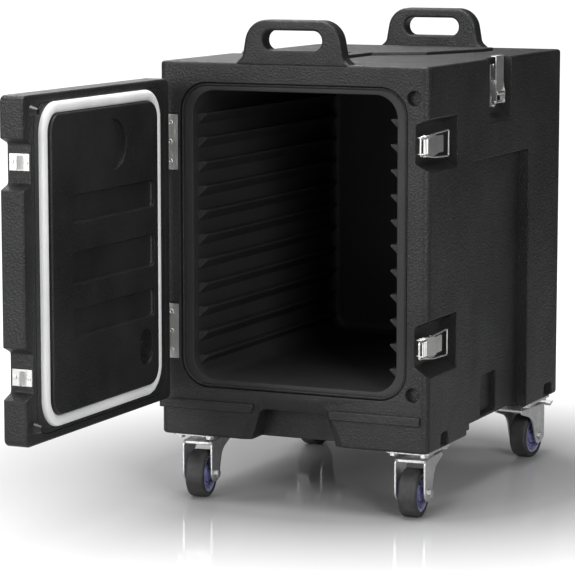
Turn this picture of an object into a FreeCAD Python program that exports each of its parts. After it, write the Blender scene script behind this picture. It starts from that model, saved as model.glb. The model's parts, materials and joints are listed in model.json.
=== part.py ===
"""Front-loading insulated food carrier on four swivel casters, built with FreeCAD's Part module.

Frame: millimetres, +Z up, floor at Z 0, origin under the middle of the body. The mouth faces -Y.
Heights of the moulded body are written from its underside and turned into frame heights by up().
"""

import FreeCAD, Part
import math
import os

V = FreeCAD.Vector

# ---- driving dimensions -------------------------------------------------------------------------
CASTER_HEIGHT = 105.0
BODY_WIDTH = 450.0
BODY_DEPTH = 610.0
BODY_HEIGHT = 585.0
WALL = 3.5
FOAM_GAP = 0.8
EDGE_RADIUS = 12.0
RIM_RADIUS = 5.0

SIDE = BODY_WIDTH / 2
FRONT = -BODY_DEPTH / 2
BACK = BODY_DEPTH / 2
OVERCUT = 3.0

# Mouth, liner and pan rails
SEAL_HALF_WIDTH = 189.5
SEAL_BOTTOM = 78.0
SEAL_TOP = 553.5
SEAL_CORNER = 45.0
SEAL_DEPTH = 9.0
FLANGE_THICKNESS = 1.6
CAVITY_HALF_WIDTH = 170.0
CAVITY_BOTTOM = 90.0
CAVITY_TOP = 541.0
CAVITY_CORNER = 36.0
CAVITY_BACK = 242.0
CAVITY_BACK_RADIUS = 18.0
RAIL_COUNT = 11
RAIL_TOP = 505.0
RAIL_PITCH = 38.0
RAIL_REACH = 16.0
RAIL_HEIGHT = 18.0
RAIL_LIP = 3.0
RAIL_FRONT = -283.0
RAIL_BACK = 230.0

# Door, given in its closed position
DOOR_LEFT = -224.5
DOOR_RIGHT = 225.0
DOOR_BOTTOM = 65.0
DOOR_TOP = 561.0
DOOR_THICKNESS = 38.0
DOOR_GAP = 1.5
DOOR_INNER = FRONT - DOOR_GAP
DOOR_OUTER = DOOR_INNER - DOOR_THICKNESS
DOOR_CORNER = 11.0
DOOR_EDGE = 4.0
DOOR_OPEN_ANGLE = -90.0
PANEL_STEP = 3.5
PANEL_PLUG = 11.0
PLUG_HALF_WIDTH = 164.5
PLUG_BOTTOM = 100.5
PLUG_TOP = 531.5
PLUG_CORNER = 26.5
PLUG_EDGE = 3.0
GASKET_HALF_WIDTH = 181.0
GASKET_BOTTOM = 85.0
GASKET_TOP = 547.0
GASKET_CORNER = 43.0
GASKET_WIDTH = 14.0
GASKET_PROUD = 8.5
LOCATOR_X = 200.0
LOCATOR_HEIGHTS = (90.0, 538.0)
LOCATOR_RADIUS = 9.0
LOCATOR_TIP_RADIUS = 4.5
LOCATOR_LENGTH = 10.5
DIMPLE_RADIUS = 11.0
DIMPLE_DEPTH = 12.0

# Screws that bite into the plastic
SCREW_LENGTH = 9.0

# Hinges
HINGE_X = -225.0
HINGE_Y = DOOR_OUTER
HINGE_MIDDLES = (164.0, 460.0)
HINGE_LENGTH = 86.0
HINGE_SHEET = 2.3
KNUCKLE_RADIUS = 5.0
KNUCKLE_RELIEF = 6.8
HINGE_PIN_RADIUS = 3.0
PIN_CLEARANCE = 0.05
HINGE_FLANGE_EDGE = -193.0
FLANGE_SCREW_X = -206.0
LEAF_SCREW_Y = -324.0
KNUCKLE_MIDDLE = 36.0
HINGE_CAP_ROOM = 3.5

# Door latches on the right edge of the body
LATCH_MIDDLES = {"upper": 467.0, "lower": 162.0}
LATCH_RECESS_BACK = -186.0
LATCH_FLOOR = 203.0
# Heights of a recess: outer edge and floor at the bottom, floor and outer edge at the top
LATCH_RECESSES = {"upper": (426.0, 440.0, 498.0, 509.0), "lower": (115.0, 134.0, 193.0, 206.0)}
DOOR_NOTCHES = {"upper": (427.0, 436.0, 493.0, 503.0), "lower": (130.0, 140.0, 197.0, 208.0)}
LATCH_SHEET = 2.0
LATCH_PIVOT = (213.5, -296.0)
LATCH_PIN_RADIUS = 2.0
BAIL_PIVOT = (219.0, -285.0)
BAIL_WIRE_RADIUS = 1.6
BAIL_HALF_HEIGHT = 14.0
BAIL_FRONT = -326.0
LEVER_HALF_HEIGHT = 19.0
LEVER_BACK = -222.0
EAR_HALF_HEIGHT = 22.0
LATCH_SCREW_Y = (-272.0, -228.0)
KEEPER_SCREW_Y = (-336.0, -313.0)

# Stacking latches on the sides
STACK_MIDDLE = 6.0
STACK_RECESS_FRONT = -46.0
STACK_RECESS_BACK = 55.0
STACK_RECESS_BOTTOM = 482.0
STACK_FLOOR = 210.0
STACK_PIVOT = (217.5, 545.0)
STACK_HOOK_PIVOT = (221.5, 529.0)
STACK_PIN_RADIUS = 2.0
STACK_HOOK_HALF = 17.0
STACK_HOOK_TOP = 588.0
STACK_BAR = (221.0, 515.0)
STACK_LEG_HALF = 20.0
STACK_EAR_HALF = 25.0
STACK_SCREW_HEIGHTS = (509.0, 571.0)

# Hand recess in each side, with the pocket that a lower carrier's stacking latch hooks into
HAND_FRONT = -124.0
HAND_BACK = 143.0
HAND_TOP = 430.0
HAND_DEPTH = 17.0
KEEPER_POCKET = (-30.0, 40.0, 14.0, 78.0)
KEEPER_POCKET_DEPTH = 9.0

# Handles moulded on the top, and the lifting arches under the front and the back
HANDLE_THICKNESS = 30.0
HANDLE_TOP = 651.0
HANDLE_BASE_HALF = 84.0
HANDLE_TOP_HALF = 74.0
HANDLE_CORNER = 36.0
HANDLE_FLARE = 13.0
HANDLE_HOLE_HALF = 49.0
HANDLE_HOLE = (605.0, 635.0)
HANDLE_EDGE = 6.0
HANDLE_HOLE_EDGE = 4.0
ARCH_DEPTH = 46.0
ARCH_BEVEL = 9.0

# Casters
WHEEL_RADIUS = 37.5
WHEEL_WIDTH = 30.0
TYRE_THICKNESS = 7.5
HUB_HALF_LENGTH = 21.0
AXLE_RADIUS = 4.0
FORK_INNER = 22.0
FORK_SHEET = 3.0
FORK_CROWN = 91.0
FORK_LEADING = 46.0
FORK_TRAILING = -43.0
FORK_FOOT = 12.0
CASTER_FRONT = -240.0
CASTER_REAR = 228.0
TRAIL = 24.0
BRAKE_GAP = 4.2
PLATE_THICKNESS = 4.0
PLATE_HALF_X = 36.0
PLATE_HALF_Y = 50.0
BOLT_X = 25.0
BOLT_Y = 40.0
BOLT_RADIUS = 4.0
BOLT_HEAD_RADIUS = 7.2
BOLT_HEAD = 5.0
NUT_RADIUS = 7.0
KINGPIN_RADIUS = 6.0
# Caster positions (x, y) and the angle that each has swivelled to
CASTERS = {
    "front_left": (-177.0, CASTER_FRONT, 6.0),
    "front_right": (185.0, CASTER_FRONT, 4.0),
    "rear_left": (-180.0, CASTER_REAR, -8.0),
    "rear_right": (185.0, CASTER_REAR, 174.0),
}


# ---- helpers ------------------------------------------------------------------------------------
def up(height):
    """Frame height of a point given from the body's underside."""
    return CASTER_HEIGHT + height


def box(x0, x1, y0, y1, z0, z1):
    return Part.makeBox(x1 - x0, y1 - y0, z1 - z0, V(x0, y0, z0))


def grown_box(shape, margin):
    """The bounding box of a shape, larger by a margin on every side."""
    b = shape.BoundBox
    spans = [(b.XMin, b.XMax), (b.YMin, b.YMax), (b.ZMin, b.ZMax)]
    return box(*[value for low, high in spans for value in (low - margin, high + margin)])


def rod(start, end, radius):
    """Round bar between two points."""
    axis = V(*end) - V(*start)
    return Part.makeCylinder(radius, axis.Length, V(*start), axis)


def union(shapes):
    shapes = list(shapes)
    return shapes[0].fuse(shapes[1:]).removeSplitter() if len(shapes) > 1 else shapes[0]


def place(u, v, w, plane):
    """Point from two in-plane coordinates and the coordinate across the plane."""
    return {"xy": V(u, v, w), "xz": V(u, w, v), "yz": V(w, u, v)}[plane]


def outline(points, radii, plane, w):
    """Closed wire through the points, each corner rounded by its radius (0 keeps it sharp)."""
    count = len(points)
    if not isinstance(radii, (list, tuple)):
        radii = [radii] * count
    corners = []
    for i, (u, v) in enumerate(points):
        here = V(u, v, 0)
        before = (V(*points[i - 1], 0) - here).normalize()
        after = (V(*points[(i + 1) % count], 0) - here).normalize()
        if radii[i] == 0:
            corners.append((here, None, here))
            continue
        half = before.getAngle(after) / 2
        reach = radii[i] / math.tan(half)
        middle = (before + after).normalize()
        bulge = here + middle * (radii[i] / math.sin(half) - radii[i])
        corners.append((here + before * reach, bulge, here + after * reach))
    edges = []
    for i, (first, bulge, last) in enumerate(corners):
        if bulge is not None:
            edges.append(Part.Arc(*[place(p.x, p.y, w, plane) for p in (first, bulge, last)]).toShape())
        following = corners[(i + 1) % count][0]
        if (following - last).Length > 1e-6:
            ends = [place(p.x, p.y, w, plane) for p in (last, following)]
            edges.append(Part.LineSegment(*ends).toShape())
    return Part.Wire(edges)


def prism(points, radii, plane, w0, w1):
    """Rounded outline pushed across its plane from w0 to w1."""
    face = Part.Face(outline(points, radii, plane, w0))
    return face.extrude(place(0, 0, w1 - w0, plane))


def rectangle(u0, u1, v0, v1):
    return [(u0, v0), (u1, v0), (u1, v1), (u0, v1)]


def hexagon(u, v, radius):
    angles = [math.radians(60 * k) for k in range(6)]
    return [(u + radius * math.cos(a), v + radius * math.sin(a)) for a in angles]


def edges_at(shape, axis, value, tolerance=0.01):
    """Edges that lie wholly in the plane axis = value."""

    def apart(edge, end):
        return abs(getattr(edge.BoundBox, axis + end) - value)

    return [e for e in shape.Edges if max(apart(e, "Min"), apart(e, "Max")) < tolerance]


def mirrored_x(shape):
    return shape.mirror(V(0, 0, 0), V(1, 0, 0))


def mirrored_y(shape):
    return shape.mirror(V(0, 0, 0), V(0, 1, 0))


def opened(shape):
    """A door piece moved from the closed position to the rest position, open at a right angle."""
    turned = shape.copy()
    turned.rotate(V(HINGE_X, HINGE_Y, 0), V(0, 0, 1), DOOR_OPEN_ANGLE)
    return turned


def sheath(shape, start, end, radius):
    """A hole of the given radius through a shape."""
    return shape.cut(rod(start, end, radius))


def write(name, *shapes):
    """One STEP file per sub-part; several shapes make one node of separate solids."""
    solids = [s for shape in shapes for s in shape.Solids]
    if not solids or not all(s.isValid() for s in solids):
        raise ValueError(name + " has no valid solid")
    shape = solids[0] if len(solids) == 1 else Part.makeCompound(solids)
    shape.exportStep("parts/" + name + ".step")


# ---- moulded body -------------------------------------------------------------------------------
def handle():
    """Front carrying handle: an upright plate with a long hole, its edges well rounded."""
    foot = BODY_HEIGHT - 2
    back = FRONT + HANDLE_THICKNESS
    half = [
        (HANDLE_BASE_HALF + HANDLE_FLARE, foot),
        (HANDLE_BASE_HALF, BODY_HEIGHT + 9),
        (HANDLE_TOP_HALF, HANDLE_TOP),
    ]
    points = [(x, up(z)) for x, z in half] + [(-x, up(z)) for x, z in reversed(half)]
    plate = prism(points, [0, 12, HANDLE_CORNER, HANDLE_CORNER, 12, 0], "xz", FRONT, back)
    rims = edges_at(plate, "Y", FRONT) + edges_at(plate, "Y", back)
    plate = plate.makeFillet(HANDLE_EDGE, [e for e in rims if e.BoundBox.ZMin > up(foot) + 0.01])
    low, high = up(HANDLE_HOLE[0]), up(HANDLE_HOLE[1])
    corner = (high - low) / 2 - 0.5
    hole_outline = rectangle(-HANDLE_HOLE_HALF, HANDLE_HOLE_HALF, low, high)
    plate = plate.cut(prism(hole_outline, corner, "xz", FRONT - OVERCUT, back + OVERCUT))
    rims = edges_at(plate, "Y", FRONT) + edges_at(plate, "Y", back)
    inner = [e for e in rims if e.BoundBox.ZMin > low - 1 and e.BoundBox.ZMax < high + 1]
    return plate.makeFillet(HANDLE_HOLE_EDGE, inner)


def arch(depth):
    """Bevelled opening under the front of the body, sized to drop over a handle's crown."""
    outer = [(-91, up(-OVERCUT)), (-56, up(66)), (56, up(66)), (91, up(-OVERCUT))]
    inner = [(-71, up(-OVERCUT)), (-56, up(49)), (56, up(49)), (71, up(-OVERCUT))]
    radii = [0, 12, 12, 0]
    mouth = outline(outer, radii, "xz", FRONT - 0.01)
    throat = outline(inner, radii, "xz", FRONT + ARCH_BEVEL)
    bevel = Part.makeLoft([mouth, throat], True, True)
    passage = prism(inner, radii, "xz", FRONT + ARCH_BEVEL - 0.01, FRONT + depth)
    ahead = prism(outer, radii, "xz", FRONT - 12, FRONT)
    return bevel.fuse([passage, ahead])


def edge_recess(heights, y0, y1):
    """Recess with sloping ends in the right-hand edge of the body or of the door."""
    bottom, floor_bottom, floor_top, top = [up(height) for height in heights]
    outer = SIDE + OVERCUT
    profile = [(outer, bottom), (LATCH_FLOOR, floor_bottom), (LATCH_FLOOR, floor_top), (outer, top)]
    return prism(profile, [0, 5, 5, 0], "xz", y0, y1)


def latch_recess(name):
    return edge_recess(LATCH_RECESSES[name], FRONT - 12, LATCH_RECESS_BACK)


def stack_recess():
    outer = SIDE + OVERCUT
    top = up(BODY_HEIGHT) + 12
    bottom = up(STACK_RECESS_BOTTOM)
    profile = [(outer, bottom), (STACK_FLOOR, bottom + 14), (STACK_FLOOR, top), (outer, top)]
    return prism(profile, [0, 4, 0, 0], "xz", STACK_RECESS_FRONT, STACK_RECESS_BACK)


def hand_recess():
    outline_points = rectangle(HAND_FRONT, HAND_BACK, up(-OVERCUT), up(HAND_TOP))
    return prism(outline_points, [0, 0, 9, 9], "yz", SIDE - HAND_DEPTH, SIDE + OVERCUT)


def keeper_pocket():
    y0, y1, z0, z1 = KEEPER_POCKET
    floor = SIDE - HAND_DEPTH - KEEPER_POCKET_DEPTH
    return prism(rectangle(y0, y1, up(z0), up(z1)), 5, "yz", floor, SIDE - HAND_DEPTH + 0.5)


def foot_notch(y0, y1):
    """Small arch through the foot of a side wall, a finger hold and drain."""
    points = [(y0, up(-OVERCUT)), (y0 + 5, up(24)), (y1 - 5, up(24)), (y1, up(-OVERCUT))]
    return prism(points, [0, 8, 8, 0], "yz", SIDE - HAND_DEPTH, SIDE + OVERCUT)


def seal_block(half_width, bottom, top, corner, y0, y1):
    return prism(rectangle(-half_width, half_width, up(bottom), up(top)), corner, "xz", y0, y1)


def dimple(height):
    centre = (LOCATOR_X, FRONT - OVERCUT, up(height))
    return rod(centre, (LOCATOR_X, FRONT + DIMPLE_DEPTH, up(height)), DIMPLE_RADIUS)


def body_pockets():
    """Every recess of the body that needs its own skin inside the wall."""
    right = [stack_recess(), hand_recess(), keeper_pocket(), foot_notch(-252, -214), foot_notch(229, 275)]
    pockets = right + [mirrored_x(p) for p in right]
    pockets += [latch_recess(name) for name in LATCH_RECESSES]
    pockets += [arch(ARCH_DEPTH), mirrored_y(arch(ARCH_DEPTH))]
    pockets += [box(-SIDE - OVERCUT, SIDE + OVERCUT, -136, 136, up(-OVERCUT), up(8.4))]
    pockets += [dimple(h) for h in LOCATOR_HEIGHTS]
    seal = (SEAL_HALF_WIDTH, SEAL_BOTTOM, SEAL_TOP, SEAL_CORNER)
    pockets += [seal_block(*seal, FRONT - 1, FRONT + SEAL_DEPTH)]
    return pockets


def hollow(gap):
    """The space between the walls of the outer shell, drawn in by a gap."""
    inset = WALL + gap
    points = rectangle(-SIDE + inset, SIDE - inset, FRONT + inset, BACK - inset)
    return prism(points, EDGE_RADIUS - inset, "xy", up(inset), up(BODY_HEIGHT) - inset)


def top_pad():
    """Raised pad on the roof, a spine that widens towards the back."""
    half = [(14, -215), (14, -25), (91, 28), (136, 158), (136, 215)]
    points = half + [(-x, y) for x, y in reversed(half)]
    pad = prism(points, 6, "xy", up(BODY_HEIGHT) - 1, up(BODY_HEIGHT) + 5)
    return pad.makeFillet(2, edges_at(pad, "Z", up(BODY_HEIGHT) + 5))


def front_ledge(x0, x1):
    """Proud bar across the front, just under the door."""
    bar = box(x0, x1, FRONT - 6, FRONT + 1, up(43), up(57))
    return bar.makeFillet(2, edges_at(bar, "Y", FRONT - 6))


def body_block():
    block = prism(rectangle(-SIDE, SIDE, FRONT, BACK), EDGE_RADIUS, "xy", up(0), up(BODY_HEIGHT))
    return block.makeFillet(RIM_RADIUS, edges_at(block, "Z", up(BODY_HEIGHT)) + edges_at(block, "Z", up(0)))


def liner_block(margin, front):
    """The liner's solid envelope, or the cavity itself when the margin is 0."""
    block = seal_block(
        CAVITY_HALF_WIDTH + margin,
        CAVITY_BOTTOM - margin,
        CAVITY_TOP + margin,
        CAVITY_CORNER + margin,
        front,
        CAVITY_BACK + margin,
    )
    return block.makeFillet(CAVITY_BACK_RADIUS + margin, edges_at(block, "Y", CAVITY_BACK + margin))


def outer_shell(pockets):
    block = body_block()
    skins = [grown_box(p, WALL).common(block) for p in pockets]
    shell = block.cut(hollow(0)).fuse(skins)
    ledges = [front_ledge(-SIDE, -64), front_ledge(64, SIDE - 12)]
    shell = shell.fuse([handle(), mirrored_y(handle()), top_pad()] + ledges)
    mouth = seal_block(
        CAVITY_HALF_WIDTH + WALL + 1.5,
        CAVITY_BOTTOM - WALL - 1.5,
        CAVITY_TOP + WALL + 1.5,
        CAVITY_CORNER + WALL,
        FRONT,
        FRONT + SEAL_DEPTH + 3 * WALL,
    )
    hinge_seats = [hinge_seat(z) for z in HINGE_MIDDLES]
    return shell.cut(pockets + [mouth] + hinge_seats).removeSplitter()


def body_foam(pockets):
    gap = FOAM_GAP
    foam = hollow(gap).cut([grown_box(p, WALL + gap) for p in pockets])
    return foam.cut([liner_block(WALL + gap, FRONT)]).removeSplitter()


def inner_liner():
    flange_front = FRONT + SEAL_DEPTH - FLANGE_THICKNESS
    flange = seal_block(
        SEAL_HALF_WIDTH - 0.8,
        SEAL_BOTTOM + 0.8,
        SEAL_TOP - 0.8,
        SEAL_CORNER - 0.8,
        flange_front,
        FRONT + SEAL_DEPTH,
    )
    tub = liner_block(WALL, flange_front).fuse(flange)
    return tub.cut(liner_block(0, flange_front - 1)).removeSplitter()


def pan_rails():
    """Ledges of the left wall: level on top, sloping back to the wall underneath."""
    cavity = liner_block(0, FRONT)
    wall = -CAVITY_HALF_WIDTH
    rails = []
    for k in range(RAIL_COUNT):
        top = up(RAIL_TOP - k * RAIL_PITCH)
        tip = wall + RAIL_REACH
        profile = [(wall, top), (tip, top), (tip, top - RAIL_LIP), (wall, top - RAIL_HEIGHT)]
        rails.append(prism(profile, 0, "xz", RAIL_FRONT, RAIL_BACK).common(cavity))
    return rails


# ---- door ---------------------------------------------------------------------------------------
def door_notches():
    """Cut-outs of the door's free edge that the latch bails reach into."""
    span = (DOOR_OUTER - OVERCUT, DOOR_INNER + OVERCUT)
    return [edge_recess(DOOR_NOTCHES[name], *span) for name in DOOR_NOTCHES]


def door_leaf_seat(middle):
    """Room in the door's hinged edge for the leaf and round the knuckles."""
    z0 = up(middle - HINGE_LENGTH / 2 - HINGE_CAP_ROOM)
    z1 = up(middle + HINGE_LENGTH / 2 + HINGE_CAP_ROOM)
    relief = rod((HINGE_X, HINGE_Y, z0), (HINGE_X, HINGE_Y, z1), KNUCKLE_RELIEF)
    seat = box(DOOR_LEFT - 1, DOOR_LEFT + HINGE_SHEET, DOOR_OUTER, DOOR_INNER - 4, z0, z1)
    return relief.fuse(seat)


def panel_outline(margin, y0, y1):
    """The door's inner panel, inside the shell's rim."""
    points = rectangle(-209 + margin, 195 - margin, up(77 + margin), up(549 - margin))
    return prism(points, 30 - margin, "xz", y0, y1)


def door_outer_shell():
    points = rectangle(DOOR_LEFT, DOOR_RIGHT, up(DOOR_BOTTOM), up(DOOR_TOP))
    block = prism(points, DOOR_CORNER, "xz", DOOR_OUTER, DOOR_INNER)
    block = block.makeFillet(DOOR_EDGE, edges_at(block, "Y", DOOR_OUTER) + edges_at(block, "Y", DOOR_INNER))
    room = box(
        DOOR_LEFT + WALL, DOOR_RIGHT - WALL, DOOR_OUTER + WALL, DOOR_INNER - WALL,
        up(DOOR_BOTTOM) + WALL, up(DOOR_TOP) - WALL,
    )
    cuts = door_notches() + [door_leaf_seat(z) for z in HINGE_MIDDLES]
    skins = [grown_box(c, WALL).common(block) for c in cuts]
    ledge = panel_outline(6, DOOR_INNER - 2 * WALL, DOOR_INNER - WALL)
    shell = block.cut(room).fuse(skins)
    return shell.cut(cuts + [panel_outline(0, DOOR_INNER - WALL, DOOR_INNER + 1), ledge]).removeSplitter()


def door_inner_panel():
    """Panel with the gasket step, the raised plug and the moulded pockets."""
    gap = 0.5
    sheet = panel_outline(gap, DOOR_INNER - WALL, DOOR_INNER)
    top = DOOR_INNER + PANEL_PLUG
    ring = (GASKET_HALF_WIDTH, GASKET_BOTTOM, GASKET_TOP, GASKET_CORNER)
    step = seal_block(*ring, DOOR_INNER - 0.5, DOOR_INNER + PANEL_STEP)
    plug = seal_block(PLUG_HALF_WIDTH, PLUG_BOTTOM, PLUG_TOP, PLUG_CORNER, DOOR_INNER, top)
    plug = plug.makeFillet(PLUG_EDGE, edges_at(plug, "Y", top))
    panel = sheet.fuse([step, plug])
    cuts = []
    for z0, z1 in ((371, 412), (282, 330), (205, 247)):
        pocket = prism(rectangle(-150, 106, up(z0), up(z1)), 8, "xz", top - 6, top + 1)
        cuts.append(pocket.makeChamfer(2, edges_at(pocket, "Y", top - 6)))
    cuts.append(crescent().extrude(V(0, 8, 0)))
    cuts.append(vent_oval(0, top - 7, top + 1))
    return panel.cut(cuts).removeSplitter()


def crescent():
    """Crescent finger recess near the top of the panel, as a face below the panel's surface."""
    middle = up(476)
    y = DOOR_INNER + PANEL_PLUG - 7
    tips = [V(-18, y, middle + 36), V(-18, y, middle - 36)]
    outer_arc = Part.Arc(tips[0], V(-62, y, middle), tips[1]).toShape()
    inner_arc = Part.Arc(tips[1], V(-34, y, middle), tips[0]).toShape()
    return Part.Face(Part.Wire([outer_arc, inner_arc]))


def vent_oval(gap, y0, y1):
    centre_x, centre_z = -122, up(161)
    corners = rectangle(centre_x - 20 + gap, centre_x + 20 - gap, centre_z - 27 + gap, centre_z + 27 - gap)
    return prism(corners, 19 - gap, "xz", y0, y1)


def vent_plug():
    """Removable plug of the pressure vent, with a coin slot."""
    floor = DOOR_INNER + PANEL_PLUG - 7
    plug = vent_oval(1.2, floor, floor + 3.5)
    dome = rod((-122, floor + 3, up(161)), (-122, floor + 5.5, up(161)), 11)
    slot = box(-129, -115, floor + 4, floor + 7, up(159.8), up(162.2))
    return plug.fuse(dome).cut(slot)


def door_foam():
    gap = FOAM_GAP
    inset = WALL + gap
    block = box(
        DOOR_LEFT + inset, DOOR_RIGHT - inset, DOOR_OUTER + inset, DOOR_INNER - 2 * WALL - gap,
        up(DOOR_BOTTOM) + inset, up(DOOR_TOP) - inset,
    )
    cuts = door_notches() + [door_leaf_seat(z) for z in HINGE_MIDDLES]
    return block.cut([grown_box(c, WALL + gap) for c in cuts])


def door_gasket():
    """Seal ring standing on the panel's step."""
    y0 = DOOR_INNER + PANEL_STEP
    y1 = DOOR_INNER + GASKET_PROUD
    outer = seal_block(GASKET_HALF_WIDTH, GASKET_BOTTOM, GASKET_TOP, GASKET_CORNER, y0, y1)
    outer = outer.makeFillet(2.5, edges_at(outer, "Y", y1))
    width = GASKET_WIDTH
    inner = seal_block(
        GASKET_HALF_WIDTH - width,
        GASKET_BOTTOM + width,
        GASKET_TOP - width,
        GASKET_CORNER - width,
        y0 - 1,
        y1 + 1,
    )
    ring = outer.cut(inner)
    inner_rim = [e for e in edges_at(ring, "Y", y1) if e.BoundBox.XMax < GASKET_HALF_WIDTH - width + 0.1]
    return ring.makeFillet(2.5, inner_rim)


def door_locating_pins():
    pins = []
    for height in LOCATOR_HEIGHTS:
        base = V(LOCATOR_X, DOOR_INNER, up(height))
        pins.append(Part.makeCone(LOCATOR_RADIUS, LOCATOR_TIP_RADIUS, LOCATOR_LENGTH, base, V(0, 1, 0)))
    return pins


# ---- hinges -------------------------------------------------------------------------------------
def hinge_span(middle):
    return up(middle - HINGE_LENGTH / 2), up(middle + HINGE_LENGTH / 2)


def hinge_seat(middle):
    z0, z1 = hinge_span(middle)
    return box(-SIDE - 5, HINGE_FLANGE_EDGE + 0.5, FRONT - 1, FRONT + HINGE_SHEET, z0 - 0.5, z1 + 0.5)


def knuckle(z0, z1):
    return rod((HINGE_X, HINGE_Y, z0), (HINGE_X, HINGE_Y, z1), KNUCKLE_RADIUS)


def pin_bore(shape, z0, z1):
    bore = HINGE_PIN_RADIUS + PIN_CLEARANCE
    return sheath(shape, (HINGE_X, HINGE_Y, z0 - 1), (HINGE_X, HINGE_Y, z1 + 1), bore)


def hinge_screw_heights(middle):
    return [up(middle + offset) for offset in (-30, 0, 30)]


def hinge_bracket(middle):
    """Flange let into the body's front, an arm past the door's edge and two knuckles."""
    z0, z1 = hinge_span(middle)
    sheet = HINGE_SHEET
    arm_x = HINGE_X - 3.5
    flange = box(arm_x, HINGE_FLANGE_EDGE, FRONT + 0.2, FRONT + sheet, z0, z1)
    arm = box(arm_x, arm_x + sheet, HINGE_Y, FRONT + sheet, z0, z1)
    gap = 0.4
    low = up(middle) - KNUCKLE_MIDDLE / 2 - gap
    high = up(middle) + KNUCKLE_MIDDLE / 2 + gap
    relief = rod((HINGE_X, HINGE_Y, low), (HINGE_X, HINGE_Y, high), KNUCKLE_RADIUS + 1)
    bracket = flange.fuse(arm).cut(relief).fuse([knuckle(z0, low), knuckle(high, z1)])
    for z in hinge_screw_heights(middle):
        bracket = sheath(bracket, (FLANGE_SCREW_X, FRONT - 1, z), (FLANGE_SCREW_X, FRONT + 4, z), 2.5)
    return pin_bore(bracket, z0, z1)


def hinge_leaf(middle):
    """Door half of the hinge: a leaf on the door's edge and the middle knuckle."""
    z0, z1 = hinge_span(middle)
    face = DOOR_LEFT + 0.1
    leaf = box(face, face + HINGE_SHEET - 0.1, HINGE_Y, DOOR_INNER - 5, z0, z1)
    low = up(middle) - KNUCKLE_MIDDLE / 2
    high = up(middle) + KNUCKLE_MIDDLE / 2
    radius = KNUCKLE_RADIUS + 0.5
    relief = [
        rod((HINGE_X, HINGE_Y, z0 - 1), (HINGE_X, HINGE_Y, low), radius),
        rod((HINGE_X, HINGE_Y, high), (HINGE_X, HINGE_Y, z1 + 1), radius),
    ]
    for z in hinge_screw_heights(middle):
        relief.append(rod((DOOR_LEFT - 1, LEAF_SCREW_Y, z), (DOOR_LEFT + 4, LEAF_SCREW_Y, z), 2.2))
    leaf = leaf.cut(relief).fuse(knuckle(low, high))
    return pin_bore(leaf, z0, z1)


def hinge_pin(middle):
    z0, z1 = hinge_span(middle)
    shaft = rod((HINGE_X, HINGE_Y, z0 - 1), (HINGE_X, HINGE_Y, z1 + 1), HINGE_PIN_RADIUS)
    caps = [rod((HINGE_X, HINGE_Y, z1 + 0.2), (HINGE_X, HINGE_Y, z1 + 2.2), KNUCKLE_RADIUS - 0.8)]
    caps += [rod((HINGE_X, HINGE_Y, z0 - 2.2), (HINGE_X, HINGE_Y, z0 - 0.2), KNUCKLE_RADIUS - 0.8)]
    return shaft.fuse(caps)


def pan_screw(seat, axis, head_radius, head_height, shank_radius):
    """Screw with a low domed head on the seat point; the axis points out of the head."""
    head = Part.makeCylinder(head_radius, head_height, V(*seat), V(*axis))
    top = V(*seat) + V(*axis) * head_height
    circles = [e for e in head.Edges if e.Curve.TypeId == "Part::GeomCircle"]
    rim = [e for e in circles if (e.Curve.Center - top).Length < 0.01]
    head = head.makeFillet(head_height * 0.6, rim)
    shank = Part.makeCylinder(shank_radius, SCREW_LENGTH, V(*seat) - V(*axis) * SCREW_LENGTH, V(*axis))
    socket = Part.makeCone(shank_radius * 0.8, shank_radius * 0.5, head_height * 0.7, top, V(*axis) * -1)
    return head.fuse(shank).cut(socket)


def hinge_bracket_screws():
    seat = FRONT + 0.2
    heights = [z for middle in HINGE_MIDDLES for z in hinge_screw_heights(middle)]
    return [pan_screw((FLANGE_SCREW_X, seat, z), (0, -1, 0), 4.0, 1.0, 2.2) for z in heights]


def hinge_leaf_screws():
    heights = [z for middle in HINGE_MIDDLES for z in hinge_screw_heights(middle)]
    return [pan_screw((DOOR_LEFT + 0.1, LEAF_SCREW_Y, z), (-1, 0, 0), 3.5, 0.9, 2.0) for z in heights]


def latch_base_screws():
    seat = LATCH_FLOOR + LATCH_SHEET
    spots = [(seat, y, up(z)) for z in LATCH_MIDDLES.values() for y in LATCH_SCREW_Y]
    return [pan_screw(spot, (1, 0, 0), 3.8, 1.6, 2.2) for spot in spots]


def keeper_screws():
    seat = LATCH_FLOOR + LATCH_SHEET
    spots = [(seat, y, up(z)) for z in LATCH_MIDDLES.values() for y in KEEPER_SCREW_Y]
    return [pan_screw(spot, (1, 0, 0), 3.2, 1.4, 1.9) for spot in spots]


def stack_base_screws():
    seat = STACK_FLOOR + 1.5
    return [pan_screw((seat, STACK_MIDDLE, up(z)), (1, 0, 0), 3.8, 1.6, 2.2) for z in STACK_SCREW_HEIGHTS]


# ---- door latches -------------------------------------------------------------------------------
def latch_base(middle):
    """Base plate on the recess floor with two ears for the lever's pin."""
    z = up(middle)
    sheet = LATCH_SHEET
    pivot_x, pivot_y = LATCH_PIVOT
    ear = EAR_HALF_HEIGHT
    plate = box(LATCH_FLOOR, LATCH_FLOOR + sheet, -303, -214, z - ear, z + ear)
    ears = []
    for z0 in (z - ear, z + ear - sheet):
        points = rectangle(LATCH_FLOOR, pivot_x + 5, -303, pivot_y + 7)
        ears.append(prism(points, [0, 4, 4, 0], "xy", z0, z0 + sheet))
    base = plate.fuse(ears)
    for screw_y in LATCH_SCREW_Y:
        base = sheath(base, (LATCH_FLOOR - 1, screw_y, z), (LATCH_FLOOR + 4, screw_y, z), 2.3)
    ends = [(pivot_x, pivot_y, z - ear - 1), (pivot_x, pivot_y, z + ear + 1)]
    return sheath(base, *ends, LATCH_PIN_RADIUS + PIN_CLEARANCE)


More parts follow.
